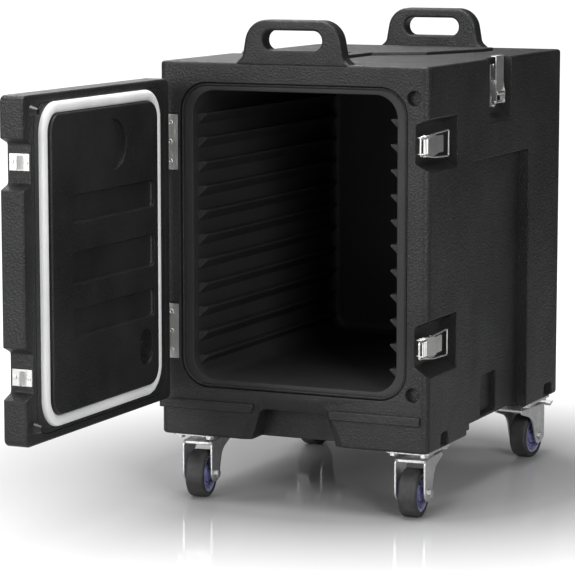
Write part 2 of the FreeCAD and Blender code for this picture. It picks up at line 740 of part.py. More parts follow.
def latch_pin(middle):
    z = up(middle)
    reach = EAR_HALF_HEIGHT + 1.2
    shaft = rod((*LATCH_PIVOT, z - reach), (*LATCH_PIVOT, z + reach), LATCH_PIN_RADIUS)
    heads = []
    for end in (-1, 1):
        start = z + end * (EAR_HALF_HEIGHT + 0.2)
        heads.append(rod((*LATCH_PIVOT, start), (*LATCH_PIVOT, start + end * 1.2), LATCH_PIN_RADIUS + 1.2))
    return shaft.fuse(heads)


def latch_lever(middle):
    """Pressed lever: a tray with two cheeks that carry the pivot and the bail."""
    z = up(middle)
    half = LEVER_HALF_HEIGHT
    sheet = LATCH_SHEET
    cheek_points = [(209, -301), (222.5, -301), (222.5, LEVER_BACK), (217, LEVER_BACK), (209, -284)]
    levels = (z - half, z + half - sheet)
    cheeks = [prism(cheek_points, [4, 4, 0, 0, 4], "xy", z0, z0 + sheet) for z0 in levels]
    web = box(220.3, 222.0, -276, LEVER_BACK, z - half, z + half)
    step = box(218.6, 220.4, -268, LEVER_BACK, z - half + sheet, z + half - sheet)
    lip = box(218.6, 224.6, LEVER_BACK - 0.01, LEVER_BACK + 2.2, z - half, z + half)
    lip = lip.makeFillet(1, edges_at(lip, "X", 224.6))
    lever = web.fuse(cheeks + [step, lip])
    low, high = z - half - 1, z + half + 1
    for pivot, radius in ((LATCH_PIVOT, LATCH_PIN_RADIUS), (BAIL_PIVOT, BAIL_WIRE_RADIUS)):
        lever = sheath(lever, (*pivot, low), (*pivot, high), radius + PIN_CLEARANCE)
    return lever


def latch_bail(middle):
    """Wire bail: two legs, a hooking bar at the front and a stiffening bar."""
    z = up(middle)
    x, back = BAIL_PIVOT
    r = BAIL_WIRE_RADIUS
    half = BAIL_HALF_HEIGHT
    pieces = [rod((x, BAIL_FRONT, z - half), (x, BAIL_FRONT, z + half), r)]
    pieces.append(rod((x, BAIL_FRONT + 13, z - half), (x, BAIL_FRONT + 13, z + half), r - 0.3))
    for side in (-1, 1):
        level = z + side * half
        pieces.append(rod((x, BAIL_FRONT, level), (x, back, level), r))
        pieces.append(rod((x, back, level), (x, back, z + side * (LEVER_HALF_HEIGHT - 0.2)), r))
        for corner in (BAIL_FRONT, back):
            pieces.append(Part.makeSphere(r, V(x, corner, level)))
    return union(pieces)


def latch_keeper(middle):
    """Keeper on the floor of the door's notch, with the lip that the bail pulls on."""
    z = up(middle)
    plate = box(LATCH_FLOOR, LATCH_FLOOR + LATCH_SHEET, DOOR_OUTER + 4, DOOR_INNER - 2, z - 12, z + 12)
    lip = box(LATCH_FLOOR, 216.6, BAIL_FRONT + 2.2, BAIL_FRONT + 4.2, z - 10, z + 10)
    lip = lip.makeFillet(0.8, edges_at(lip, "X", 216.6))
    keeper = plate.fuse(lip)
    for screw_y in KEEPER_SCREW_Y:
        keeper = sheath(keeper, (LATCH_FLOOR - 1, screw_y, z), (LATCH_FLOOR + 4, screw_y, z), 2.0)
    return keeper


# ---- stacking latches ---------------------------------------------------------------------------
def stack_base():
    x, z = STACK_PIVOT
    ear = STACK_EAR_HALF
    middle = STACK_MIDDLE
    plate = box(STACK_FLOOR, STACK_FLOOR + 1.5, middle - ear, middle + ear, up(503), up(578))
    ears = []
    for y0 in (middle - ear, middle + ear - 2):
        points = rectangle(STACK_FLOOR, x + 4.5, up(z - 6), up(z + 6))
        ears.append(prism(points, [0, 4, 4, 0], "xz", y0, y0 + 2))
    base = plate.fuse(ears)
    for height in STACK_SCREW_HEIGHTS:
        ends = [(STACK_FLOOR + reach, middle, up(height)) for reach in (-1, 3)]
        base = sheath(base, *ends, 2.3)
    bore = STACK_PIN_RADIUS + PIN_CLEARANCE
    return sheath(base, (x, middle - ear - 1, up(z)), (x, middle + ear + 1, up(z)), bore)


def stack_pin():
    x, z = STACK_PIVOT
    reach = STACK_EAR_HALF + 1.2
    return rod((x, STACK_MIDDLE - reach, up(z)), (x, STACK_MIDDLE + reach, up(z)), STACK_PIN_RADIUS)


def stack_lever():
    """Handle of the stacking latch: two side links, a grip bar and the hook's pin."""
    x, z = STACK_PIVOT
    hook_x, hook_z = STACK_HOOK_PIVOT
    bar_x, bar_z = STACK_BAR
    half = STACK_LEG_HALF
    middle = STACK_MIDDLE
    link_points = [
        (x - 4.2, up(z + 4.2)),
        (x + 3.8, up(z + 4.2)),
        (hook_x + 3, up(hook_z)),
        (bar_x + 3, up(bar_z - 3)),
        (bar_x - 3.5, up(bar_z - 3)),
        (x - 4.2, up(z - 6)),
    ]
    sheet = 2.4
    starts = (middle - half, middle + half - sheet)
    links = [prism(link_points, [4, 3.5, 1, 2.5, 2.5, 1], "xz", y0, y0 + sheet) for y0 in starts]
    grip = rod((bar_x, middle - half - 5, up(bar_z)), (bar_x, middle + half + 5, up(bar_z)), 2.2)
    hook_pin = rod((hook_x, middle - half + 1, up(hook_z)), (hook_x, middle + half - 1, up(hook_z)), 1.75)
    lever = union(links + [grip, hook_pin])
    bore = STACK_PIN_RADIUS + PIN_CLEARANCE
    return sheath(lever, (x, middle - half - 1, up(z)), (x, middle + half + 1, up(z)), bore)


def stack_hook():
    """Flat strap that rises with the lever, curled round its pin and hooked at the top."""
    hook_x, hook_z = STACK_HOOK_PIVOT
    y0 = STACK_MIDDLE - STACK_HOOK_HALF
    y1 = STACK_MIDDLE + STACK_HOOK_HALF
    curl = rod((hook_x, y0 + 0.5, up(hook_z)), (hook_x, y1 - 0.5, up(hook_z)), 3.4)
    strap = box(hook_x - 0.9, hook_x + 0.9, y0, y1, up(hook_z), up(STACK_HOOK_TOP))
    lip = box(213, hook_x + 0.9, y0, y1, up(STACK_HOOK_TOP - 1.8), up(STACK_HOOK_TOP))
    hook = union([curl, strap, lip])
    return sheath(hook, (hook_x, y0 - 1, up(hook_z)), (hook_x, y1 + 1, up(hook_z)), 1.75 + PIN_CLEARANCE)


# ---- casters ------------------------------------------------------------------------------------
def caster_at(shape, name):
    """A caster piece moved from the caster's own frame to its corner, turned about its swivel."""
    x, y, angle = CASTERS[name]
    moved = shape.copy()
    moved.rotate(V(0, 0, 0), V(0, 0, 1), angle)
    moved.translate(V(x, y, 0))
    return moved


def bolt_points():
    return [(sx * BOLT_X, sy * BOLT_Y) for sx in (-1, 1) for sy in (-1, 1)]


def caster_plate(name):
    """Top plate, bearing race and kingpin, fixed under the body."""
    plate_x, plate_y, _ = CASTERS[name]
    top = CASTER_HEIGHT
    low = top - PLATE_THICKNESS
    corners = rectangle(-PLATE_HALF_X, PLATE_HALF_X, -PLATE_HALF_Y, PLATE_HALF_Y)
    plate = prism(corners, 6, "xy", low, top)
    race = Part.makeCone(21, 26, 3.5, V(0, 0, low - 3.5))
    kingpin = rod((0, 0, 82), (0, 0, low), KINGPIN_RADIUS)
    rivet = rod((0, 0, 79), (0, 0, 82.1), KINGPIN_RADIUS + 3)
    assembly = union([plate, race, kingpin, rivet])
    for x, y in bolt_points():
        assembly = sheath(assembly, (x, y, low - 1), (x, y, top + 1), BOLT_RADIUS + 0.3)
    assembly.translate(V(plate_x, plate_y, 0))
    return assembly


def caster_bolts(name):
    plate_x, plate_y, _ = CASTERS[name]
    low = CASTER_HEIGHT - PLATE_THICKNESS
    bolts = []
    for x, y in bolt_points():
        head = prism(hexagon(x, y, BOLT_HEAD_RADIUS), 0, "xy", low - BOLT_HEAD, low)
        bolt = head.fuse(rod((x, y, low - 1), (x, y, CASTER_HEIGHT - 0.1), BOLT_RADIUS))
        bolt.translate(V(plate_x, plate_y, 0))
        bolts.append(bolt)
    return bolts


def caster_fork():
    """Pressed fork: a crown under the race, and two legs whose leading edge curves down to the axle."""
    outer = FORK_INNER + FORK_SHEET
    axle_y = -TRAIL
    foot = WHEEL_RADIUS - FORK_FOOT
    crown_low = FORK_CROWN - 4
    leg_points = [
        (FORK_LEADING, FORK_CROWN),
        (FORK_TRAILING, FORK_CROWN),
        (FORK_TRAILING, foot),
        (axle_y + FORK_FOOT, foot),
        (4, 72),
        (FORK_LEADING, crown_low - 3),
    ]
    radii = [2, 8, 16, 11, 30, 2]
    legs = [prism(leg_points, radii, "yz", x0, x0 + FORK_SHEET) for x0 in (-outer, FORK_INNER)]
    crown_points = rectangle(-outer, outer, FORK_TRAILING, FORK_LEADING)
    crown = prism(crown_points, [7, 7, 1, 1], "xy", crown_low, FORK_CROWN)
    dome = Part.makeCone(25, 20, 6, V(0, 0, FORK_CROWN))
    fork = union(legs + [crown, dome])
    fork = sheath(fork, (0, 0, 80), (0, 0, 100), KINGPIN_RADIUS + PIN_CLEARANCE)
    ends = [(x, axle_y, WHEEL_RADIUS) for x in (-outer - 1, outer + 1)]
    return sheath(fork, *ends, AXLE_RADIUS + PIN_CLEARANCE)


def caster_axle():
    """Axle bolt with a hexagon head on one side and a nut on the other."""
    outer = FORK_INNER + FORK_SHEET
    centre = (-TRAIL, WHEEL_RADIUS)
    shaft = rod((-outer - 2, *centre), (outer + 5, *centre), AXLE_RADIUS)
    head = prism(hexagon(*centre, NUT_RADIUS), 0, "yz", -outer - 4, -outer - 0.1)
    nut = prism(hexagon(*centre, NUT_RADIUS), 0, "yz", outer + 0.1, outer + 5)
    return union([shaft, head, nut])


def wheel_ring(outer_radius, inner_radius, half_width, round_edge):
    y, z = -TRAIL, WHEEL_RADIUS
    body = rod((-half_width, y, z), (half_width, y, z), outer_radius)
    body = body.makeFillet(round_edge, edges_at(body, "X", half_width) + edges_at(body, "X", -half_width))
    return sheath(body, (-half_width - 1, y, z), (half_width + 1, y, z), inner_radius)


def caster_tyre():
    return wheel_ring(WHEEL_RADIUS, WHEEL_RADIUS - TYRE_THICKNESS, WHEEL_WIDTH / 2, 5)


def caster_hub():
    """Wheel centre with a dished web, a long boss and a bore that runs on the axle."""
    y, z = -TRAIL, WHEEL_RADIUS
    half = WHEEL_WIDTH / 2
    rim = wheel_ring(WHEEL_RADIUS - TYRE_THICKNESS, WHEEL_RADIUS - TYRE_THICKNESS - 4, half - 1, 1)
    web = rod((-5, y, z), (5, y, z), WHEEL_RADIUS - TYRE_THICKNESS - 2)
    boss = rod((-HUB_HALF_LENGTH, y, z), (HUB_HALF_LENGTH, y, z), 9)
    hub = union([rim, web, boss])
    ends = [(x, y, z) for x in (-HUB_HALF_LENGTH - 1, HUB_HALF_LENGTH + 1)]
    return sheath(hub, *ends, AXLE_RADIUS + PIN_CLEARANCE)


def brake_pedal():
    """Brake: a shoe curved over the tyre and a tread plate behind it, pinned between the fork's legs."""
    half = FORK_INNER - 1
    y, z = -TRAIL, WHEEL_RADIUS
    gap = BRAKE_GAP
    inner = WHEEL_RADIUS + gap
    ring = rod((-12, y, z), (12, y, z), inner + 2.5).cut(rod((-13, y, z), (13, y, z), inner))
    shoe = ring.common(box(-13, 13, y - 50, y - 8, 48, 90))
    upper_side = [(-31, 83), (-58, 88), (-84, 82.5), (-93, 87.5)]
    lower_side = [(-95, 85.2), (-84.5, 79), (-58, 84.6), (-33, 74.5)]
    plate = prism(upper_side + lower_side, [1, 6, 5, 0.8, 0.8, 7, 4, 1], "yz", -17, 17)
    hub = rod((-half, -31, 79), (half, -31, 79), 3.6)
    ribs = [rod((x, -80, 83.4), (x, -62, 87.2), 1.0) for x in (-12, -6, 0, 6, 12)]
    return union([shoe, plate, hub] + ribs)


# ---- assembly -----------------------------------------------------------------------------------
def write_body():
    pockets = body_pockets()
    write("outer_shell", outer_shell(pockets))
    write("body_foam", body_foam(pockets))
    write("inner_liner", inner_liner())
    rails = pan_rails()
    write("pan_rails_left", *rails)
    write("pan_rails_right", *[mirrored_x(r) for r in rails])


def write_door():
    write("door_outer_shell", opened(door_outer_shell()))
    write("door_inner_panel", opened(door_inner_panel()))
    write("door_foam", opened(door_foam()))
    write("door_gasket", opened(door_gasket()))
    write("vent_plug", opened(vent_plug()))
    write("door_locating_pins", *[opened(p) for p in door_locating_pins()])


def write_hinges():
    write("hinge_brackets", *[hinge_bracket(z) for z in HINGE_MIDDLES])
    write("hinge_pins", *[hinge_pin(z) for z in HINGE_MIDDLES])
    write("hinge_leaves", *[opened(hinge_leaf(z)) for z in HINGE_MIDDLES])
    write("hinge_bracket_screws", *hinge_bracket_screws())
    write("hinge_leaf_screws", *[opened(s) for s in hinge_leaf_screws()])


def write_latches():
    middles = LATCH_MIDDLES.values()
    write("latch_bases", *[latch_base(z) for z in middles])
    write("latch_pivot_pins", *[latch_pin(z) for z in middles])
    write("latch_base_screws", *latch_base_screws())
    write("latch_keepers", *[opened(latch_keeper(z)) for z in middles])
    write("keeper_screws", *[opened(s) for s in keeper_screws()])
    for name, middle in LATCH_MIDDLES.items():
        write("latch_lever_" + name, latch_lever(middle))
        write("latch_bail_" + name, latch_bail(middle))


def write_stack_latches():
    for side, turn in (("right", lambda s: s), ("left", mirrored_x)):
        write("stack_latch_base_" + side, turn(stack_base()))
        write("stack_latch_pin_" + side, turn(stack_pin()))
        write("stack_latch_lever_" + side, turn(stack_lever()))
        write("stack_latch_hook_" + side, turn(stack_hook()))
        write("stack_latch_screws_" + side, *[turn(s) for s in stack_base_screws()])


def write_casters():
    write("caster_plates", *[caster_plate(name) for name in CASTERS])
    write("caster_bolts", *[bolt for name in CASTERS for bolt in caster_bolts(name)])
    for name in CASTERS:
        write("caster_fork_" + name, caster_at(caster_fork(), name))
        write("caster_axle_" + name, caster_at(caster_axle(), name))
        write("caster_hub_" + name, caster_at(caster_hub(), name))
        write("caster_tyre_" + name, caster_at(caster_tyre(), name))
        if name.startswith("rear"):
            write("brake_pedal_" + name, caster_at(brake_pedal(), name))


os.makedirs("parts", exist_ok=True)
write_body()
write_door()
write_hinges()
write_latches()
write_stack_latches()
write_casters()
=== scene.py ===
import bmesh
import bpy
import json
import math
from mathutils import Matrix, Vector


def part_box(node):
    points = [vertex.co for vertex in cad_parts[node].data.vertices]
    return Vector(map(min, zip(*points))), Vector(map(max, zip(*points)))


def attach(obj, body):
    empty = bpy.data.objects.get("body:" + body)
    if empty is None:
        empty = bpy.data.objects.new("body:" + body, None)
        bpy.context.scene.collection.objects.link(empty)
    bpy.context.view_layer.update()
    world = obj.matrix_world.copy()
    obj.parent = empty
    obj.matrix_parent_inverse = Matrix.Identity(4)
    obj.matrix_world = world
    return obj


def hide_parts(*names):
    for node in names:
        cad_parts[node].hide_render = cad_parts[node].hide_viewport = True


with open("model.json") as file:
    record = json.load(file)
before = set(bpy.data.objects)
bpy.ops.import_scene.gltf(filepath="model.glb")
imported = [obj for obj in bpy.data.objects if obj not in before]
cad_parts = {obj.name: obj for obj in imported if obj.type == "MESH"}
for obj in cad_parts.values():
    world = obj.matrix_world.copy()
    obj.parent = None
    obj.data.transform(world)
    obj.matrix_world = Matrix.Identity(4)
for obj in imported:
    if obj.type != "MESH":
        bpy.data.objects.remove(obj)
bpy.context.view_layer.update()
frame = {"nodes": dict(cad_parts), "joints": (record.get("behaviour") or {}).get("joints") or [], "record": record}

MM = 0.001
BODY_OF = {node: body for body, nodes in frame["record"]["behaviour"]["bodies"].items() for node in nodes}
SLOT_OF = {part["node"]: part["material_slot"] for part in frame["record"]["subparts"]}
JOINTS = {joint["name"]: joint for joint in frame["joints"]}
CORNERS = ("front_left", "front_right", "rear_left", "rear_right")

# Camera
LENS_MM = 170.5
SENSOR_MM = 36.0
LOOK_AT = Vector((-0.1443, 0.0, 0.3023))
AZIMUTH = math.radians(24.31)
ELEVATION = math.radians(7.81)
DISTANCE = 4.508

# Mesh finishing
WELD = 0.00005
FLAT_ANGLE = math.radians(0.02)
SHARP_ANGLE = math.radians(42)
SMOOTH_ANGLE = math.radians(32)
FOLD_ANGLE = math.radians(60)
BEVEL_SEGMENTS = 2
BAR_RESOLUTION = 3
TURNS = 96
CORNER_STEPS = 14
BEND_STEPS = 5
BULB_STEPS = 10

# A light has its place, its aim, its two side lengths and its power in watts
LIGHTS = {
    "top": ((-0.2, -0.3, 3.2), (0, 0, 0.4), (2.4, 2.4), 125),
    "front": ((-1.5, -4.2, 1.5), (0, -0.3, 0.4), (1.6, 2.2), 80),
    "right": ((3.0, -3.2, 1.8), (-0.3, -0.4, 0.4), (1.2, 1.8), 98),
    "back": ((-2.4, 3.2, 3.0), (0, 0.2, 0.6), (2.0, 1.2), 45),
}

# World. Its light fades from WORLD_LIGHT to WORLD_SHADE as a direction's product with SHADE_SIDE
# goes through SHADE_RANGE, while the camera itself sees WORLD_SEEN everywhere.
WORLD_SEEN = 1.0
WORLD_LIGHT = 0.32
WORLD_SHADE = 0.02
SHADE_SIDE = (0.55, 0.83, 0.0)
SHADE_RANGE = (0.05, 0.75)

# Floor: half its side, and the distances from the origin where its glow starts and is full
FLOOR_HALF = 30.0
GLOW_RANGE = (0.36, 1.05)


# ---- node materials -----------------------------------------------------------------------------
class Tree:
    """A new material's nodes, with short calls for the few kinds that the finishes need."""

    def __init__(self, name):
        self.material = bpy.data.materials.new(name)
        self.material.use_nodes = True
        self.tree = self.material.node_tree
        self.shader = self.tree.nodes["Principled BSDF"]
        self.point = self.add("ShaderNodeTexCoord").outputs["Object"]

    def add(self, kind, **values):
        node = self.tree.nodes.new(kind)
        for key, value in values.items():
            setattr(node, key, value)
        return node

    def link(self, source, target):
        self.tree.links.new(source, target)

    def stretched(self, scale):
        mapping = self.add("ShaderNodeMapping")
        mapping.inputs["Scale"].default_value = scale
        self.link(self.point, mapping.inputs["Vector"])
        return mapping.outputs["Vector"]

    def noise(self, scale, detail=2.0, roughness=0.5, point=None):
        node = self.add("ShaderNodeTexNoise")
        node.inputs["Scale"].default_value = scale
        node.inputs["Detail"].default_value = detail
        node.inputs["Roughness"].default_value = roughness
        self.link(point or self.point, node.inputs["Vector"])
        return node.outputs["Fac"]

    def cells(self, scale):
        node = self.add("ShaderNodeTexVoronoi", feature="SMOOTH_F1")
        node.inputs["Scale"].default_value = scale
        node.inputs["Smoothness"].default_value = 0.6
        self.link(self.point, node.inputs["Vector"])
        return node.outputs["Distance"]

    def remap(self, value, low, high, out_low, out_high):
        node = self.add("ShaderNodeMapRange")
        for key, number in (("From Min", low), ("From Max", high), ("To Min", out_low), ("To Max", out_high)):
            node.inputs[key].default_value = number
        self.link(value, node.inputs["Value"])
        return node.outputs["Result"]

    def mix(self, factor, first, second):
        """Blend of two colours, each a tuple or a socket."""
        node = self.add("ShaderNodeMix", data_type="RGBA")
        self.link(factor, node.inputs["Factor"])
        for socket, colour in ((node.inputs["A"], first), (node.inputs["B"], second)):
            if isinstance(colour, tuple):
                socket.default_value = (*colour, 1)
            else:
                self.link(colour, socket)
        return node.outputs["Result"]

    def sum(self, first, second, weight):
        """first + weight * second"""
        node = self.add("ShaderNodeMath", operation="MULTIPLY_ADD")
        self.link(second, node.inputs[0])
        node.inputs[1].default_value = weight
        self.link(first, node.inputs[2])
        return node.outputs[0]

    def bump(self, height, depth):
        node = self.add("ShaderNodeBump")
        node.inputs["Strength"].default_value = 1.0
        node.inputs["Distance"].default_value = depth
        self.link(height, node.inputs["Height"])
        self.link(node.outputs["Normal"], self.shader.inputs["Normal"])

    def set(self, **values):
        """Constant values of the shader's own sockets; an underscore in a name stands for a space."""
        for key, value in values.items():
            self.shader.inputs[key.replace("_", " ")].default_value = value

    def colour(self, socket):
        self.link(socket, self.shader.inputs["Base Color"])

    def roughness(self, socket):
        self.link(socket, self.shader.inputs["Roughness"])


def moulded_plastic(name, dark, light, grain, depth, rough, specular=0.3):
    """Rotationally moulded polyethylene: pebbled skin, slight clouding, and scuffs that polish it."""
    t = Tree(name)
    clouds = t.noise(5.5, 4.0, 0.6)
    speckle = t.noise(grain * 1.7, 2.0, 0.7)
    shade = t.sum(clouds, speckle, 1.1)
    base = t.mix(t.remap(shade, 0.75, 1.35, 0.0, 1.0), dark, light)
    scuffs = t.noise(26.0, 5.0, 0.75, t.stretched((1.0, 3.2, 0.7)))
    scuffed = t.remap(scuffs, 0.62, 0.78, 0.0, 0.35)
    t.colour(t.mix(scuffed, base, tuple(c * 1.9 for c in light)))
    t.roughness(t.remap(t.sum(clouds, scuffs, 0.8), 0.5, 1.25, rough[1], rough[0]))
    pebbles = t.sum(t.cells(grain), t.noise(grain * 2.6, 1.0), 0.5)
    t.bump(t.sum(pebbles, t.noise(grain * 0.4, 2.0), 0.5), depth)
    t.set(Specular_IOR_Level=specular)
    return t.material


def silicone():
    t = Tree("gasket_silicone")
    clouds = t.noise(14.0, 3.0)
    t.colour(t.mix(t.remap(clouds, 0.35, 0.7, 0.0, 1.0), (0.74, 0.745, 0.75), (0.83, 0.832, 0.83)))
    t.roughness(t.remap(clouds, 0.3, 0.7, 0.38, 0.5))
    t.bump(t.noise(520.0, 2.0), 0.00012)
    t.set(Subsurface_Weight=0.12, Subsurface_Scale=0.002, Subsurface_Radius=(1.0, 0.95, 0.9))
    return t.material


def brushed_steel(name, tint, stretch, rough):
    """Steel with fine brush lines along the axis whose stretch is small."""
    t = Tree(name)
    lines = t.noise(1.0, 3.0, 0.6, t.stretched(stretch))
    smudges = t.noise(34.0, 4.0, 0.6)
    darker = tuple(c * 0.78 for c in tint)
    t.colour(t.mix(t.remap(t.sum(lines, smudges, 0.5), 0.5, 1.0, 0.0, 1.0), darker, tint))
    t.roughness(t.remap(t.sum(smudges, lines, 0.6), 0.5, 1.1, rough[0], rough[1]))
    t.bump(lines, 0.00004)
    t.set(Metallic=1.0)
    return t.material


def zinc_plate():
    """Bright zinc plating: pale and faintly mottled."""
    t = Tree("zinc_plate")
    spangle = t.cells(160.0)
    clouds = t.noise(30.0, 4.0, 0.65)
    shade = t.sum(clouds, spangle, 0.25)
    t.colour(t.mix(t.remap(shade, 0.35, 0.8, 0.0, 1.0), (0.5, 0.505, 0.51), (0.74, 0.74, 0.735)))
    t.roughness(t.remap(clouds, 0.3, 0.7, 0.26, 0.44))
    t.bump(t.noise(900.0, 2.0), 0.00003)
    t.set(Metallic=0.9)
    return t.material


def tyre_rubber():
    t = Tree("tyre_rubber")
    dust = t.noise(60.0, 5.0, 0.7)
    t.colour(t.mix(t.remap(dust, 0.4, 0.75, 0.0, 1.0), (0.026, 0.026, 0.028), (0.062, 0.06, 0.058)))
    t.roughness(t.remap(dust, 0.3, 0.7, 0.5, 0.72))
    t.bump(t.noise(700.0, 3.0), 0.00015)
    t.set(Specular_IOR_Level=0.4)
    return t.material


def hub_plastic(name, dark, light):
    t = Tree(name)
    clouds = t.noise(75.0, 3.0)
    t.colour(t.mix(t.remap(clouds, 0.35, 0.65, 0.0, 1.0), dark, light))
    t.roughness(t.remap(clouds, 0.3, 0.7, 0.24, 0.36))
    t.bump(t.noise(800.0, 2.0), 0.00004)
    t.set(Specular_IOR_Level=0.5)
    return t.material


def insulation_foam():
    t = Tree("insulation_foam")
    cells = t.cells(380.0)
    t.colour(t.mix(t.remap(cells, 0.1, 0.6, 0.0, 1.0), (0.7, 0.62, 0.4), (0.86, 0.8, 0.6)))
    t.bump(cells, 0.0006)
    t.set(Roughness=0.95)
    return t.material


def floor_white():
    """Glossy studio sweep that glows more and more towards its far parts, so that it ends pure white."""
    t = Tree("floor_white")
    faint = t.noise(1.3, 2.0)
    t.colour(t.mix(faint, (0.46, 0.46, 0.46), (0.48, 0.48, 0.48)))
    t.roughness(t.remap(faint, 0.3, 0.7, 0.07, 0.1))
    distance = t.add("ShaderNodeVectorMath", operation="LENGTH")
    t.link(t.point, distance.inputs[0])
    seen = t.add("ShaderNodeLightPath").outputs["Is Camera Ray"]
    glow = t.add("ShaderNodeMath", operation="MULTIPLY")
    t.link(t.remap(distance.outputs["Value"], *GLOW_RANGE, 0.0, 1.0), glow.inputs[0])
    t.link(seen, glow.inputs[1])
    t.link(glow.outputs[0], t.shader.inputs["Emission Strength"])
    t.set(Specular_IOR_Level=0.3, Emission_Color=(1, 1, 1, 1))
    return t.material


def make_materials():
    black = moulded_plastic(
        "black_shell", (0.006, 0.006, 0.0065), (0.029, 0.029, 0.0295), 320.0, 0.0006, (0.32, 0.5)
    )
    inner = moulded_plastic(
        "black_liner", (0.02, 0.02, 0.0205), (0.032, 0.032, 0.0325), 700.0, 0.0002, (0.4, 0.55)
    )
    plug = moulded_plastic(
        "black_plug", (0.009, 0.009, 0.0095), (0.016, 0.016, 0.017), 900.0, 0.0001, (0.22, 0.34), 0.5
    )
    along_y, along_z = (900.0, 24.0, 900.0), (900.0, 900.0, 20.0)
    return {
        "shell_plastic": black,
        "liner_plastic": inner,
        "vent_plug": plug,
        "foam": insulation_foam(),
        "gasket": silicone(),
        "stainless": brushed_steel("brushed_stainless", (0.84, 0.84, 0.83), along_y, (0.3, 0.48)),
        "stainless_upright": brushed_steel("brushed_strap", (0.88, 0.88, 0.87), along_z, (0.34, 0.5)),
        "zinc": zinc_plate(),
        "hub_plastic": hub_plastic("hub_violet", (0.15, 0.15, 0.31), (0.2, 0.2, 0.38)),
        # Paler copy of the hub plastic for the rim flanges: a painted highlight.
        "hub_rim": hub_plastic("hub_rim_painted_highlight", (0.24, 0.24, 0.38), (0.31, 0.31, 0.45)),
        "tyre_rubber": tyre_rubber(),
    }


MATERIALS = make_materials()


# ---- mesh building ------------------------------------------------------------------------------
def dress(piece, material):
    piece.data.materials.clear()
    piece.data.materials.append(material)


def smooth_shaded(piece):
    """Smooth faces with sharp edges kept, and normals weighted towards the large faces."""
    mesh = piece.data
    bm = bmesh.new()
    bm.from_mesh(mesh)
    for face in bm.faces:
        face.smooth = True
    for edge in bm.edges:
        edge.smooth = edge.is_manifold and edge.calc_face_angle(0) < SMOOTH_ANGLE
    bm.to_mesh(mesh)
    bm.free()
    weighted = piece.modifiers.new("weighted", "WEIGHTED_NORMAL")
    weighted.keep_sharp = True


def add_piece(name, bm, body, slot, material=None, replaced=()):
    """Finishes a bmesh as a piece that rides on a body and may stand for CAD nodes."""
    bmesh.ops.recalc_face_normals(bm, faces=bm.faces)
    mesh = bpy.data.meshes.new(name)
    bm.to_mesh(mesh)
    bm.free()
    piece = bpy.data.objects.new(name, mesh)
    bpy.context.scene.collection.objects.link(piece)
    dress(piece, MATERIALS[material or slot])
    smooth_shaded(piece)
    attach(piece, body)
    if replaced:
        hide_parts(*replaced)
    return piece


def refined(node, width, material=None):
    """A CAD node's shape with its sharp outer edges rounded, as its visible piece."""
    bm = bmesh.new()
    bm.from_mesh(frame["nodes"][node].data)
    bmesh.ops.remove_doubles(bm, verts=bm.verts, dist=WELD)
    bmesh.ops.dissolve_limit(bm, angle_limit=FLAT_ANGLE, verts=bm.verts, edges=bm.edges)
    edges = [e for e in bm.edges if e.is_manifold and e.calc_face_angle_signed(0) > SHARP_ANGLE]
    bmesh.ops.bevel(
        bm,
        geom=edges,
        offset=width,
        offset_type="OFFSET",
        segments=BEVEL_SEGMENTS,
        profile=0.5,
        affect="EDGES",
        clamp_overlap=False,
        miter_outer="ARC",
    )
    bmesh.ops.triangulate(bm, faces=[f for f in bm.faces if len(f.verts) > 4])
    return add_piece(node + "_finished", bm, BODY_OF[node], SLOT_OF[node], material, (node,))


def ring_path(centre, half_u, half_v, corner):
    """Points and outward normals round a rounded rectangle, as (u, v, normal_u, normal_v)."""
    path = []
    for quarter in range(4):
        start = math.radians(90 * quarter)
        sign_u = (1, -1, -1, 1)[quarter]
        sign_v = (1, 1, -1, -1)[quarter]
        middle_u = centre[0] + sign_u * (half_u - corner)
        middle_v = centre[1] + sign_v * (half_v - corner)
        for k in range(CORNER_STEPS + 1):
            angle = start + math.radians(90) * k / CORNER_STEPS
            normal = (math.cos(angle), math.sin(angle))
            path.append((middle_u + corner * normal[0], middle_v + corner * normal[1], *normal))
    return path


def swept_ring(path, profile, place):
    """A closed section carried round a closed path. profile holds (outward, height) pairs."""
    bm = bmesh.new()
    rings = []
    for u, v, normal_u, normal_v in path:
        section = [place(u + out * normal_u, v + out * normal_v, height) for out, height in profile]
        rings.append([bm.verts.new(point) for point in section])
    stitch(bm, rings)
    return bm


def stitch(bm, rings):
    """Quads between rings of vertices, joined last to first in both directions."""
    for i, ring in enumerate(rings):
        after = rings[(i + 1) % len(rings)]
        for k in range(len(ring)):
            following = (k + 1) % len(ring)
            bm.faces.new((ring[k], ring[following], after[following], after[k]))


def lathe(profile, centre, axis):
    """A closed section of (radius, along) pairs turned about an axis."""
    axis = Vector(axis).normalized()
    across = axis.cross(Vector((0, 0, 1))).normalized()
    upward = across.cross(axis)
    bm = bmesh.new()
    rings = []
    for k in range(TURNS):
        angle = 2 * math.pi * k / TURNS
        outward = across * math.cos(angle) + upward * math.sin(angle)
        section = [Vector(centre) + outward * radius + axis * along for radius, along in profile]
        rings.append([bm.verts.new(point) for point in section])
    stitch(bm, rings)
    return bm


def tube(points, radius, closed=False):
    """Round bar bent along a list of points, as a bmesh."""
    curve = bpy.data.curves.new("bar", "CURVE")
    curve.dimensions = "3D"
    curve.bevel_depth = radius
    curve.bevel_resolution = BAR_RESOLUTION
    curve.use_fill_caps = not closed
    spline = curve.splines.new("POLY")
    spline.points.add(len(points) - 1)
    for target, point in zip(spline.points, points):
        target.co = (*point, 1)
    spline.use_cyclic_u = closed
    holder = bpy.data.objects.new("bar", curve)
    mesh = bpy.data.meshes.new_from_object(holder)
    bm = bmesh.new()
    bm.from_mesh(mesh)
    bpy.data.objects.remove(holder)
    bpy.data.curves.remove(curve)
    bpy.data.meshes.remove(mesh)
    return bm


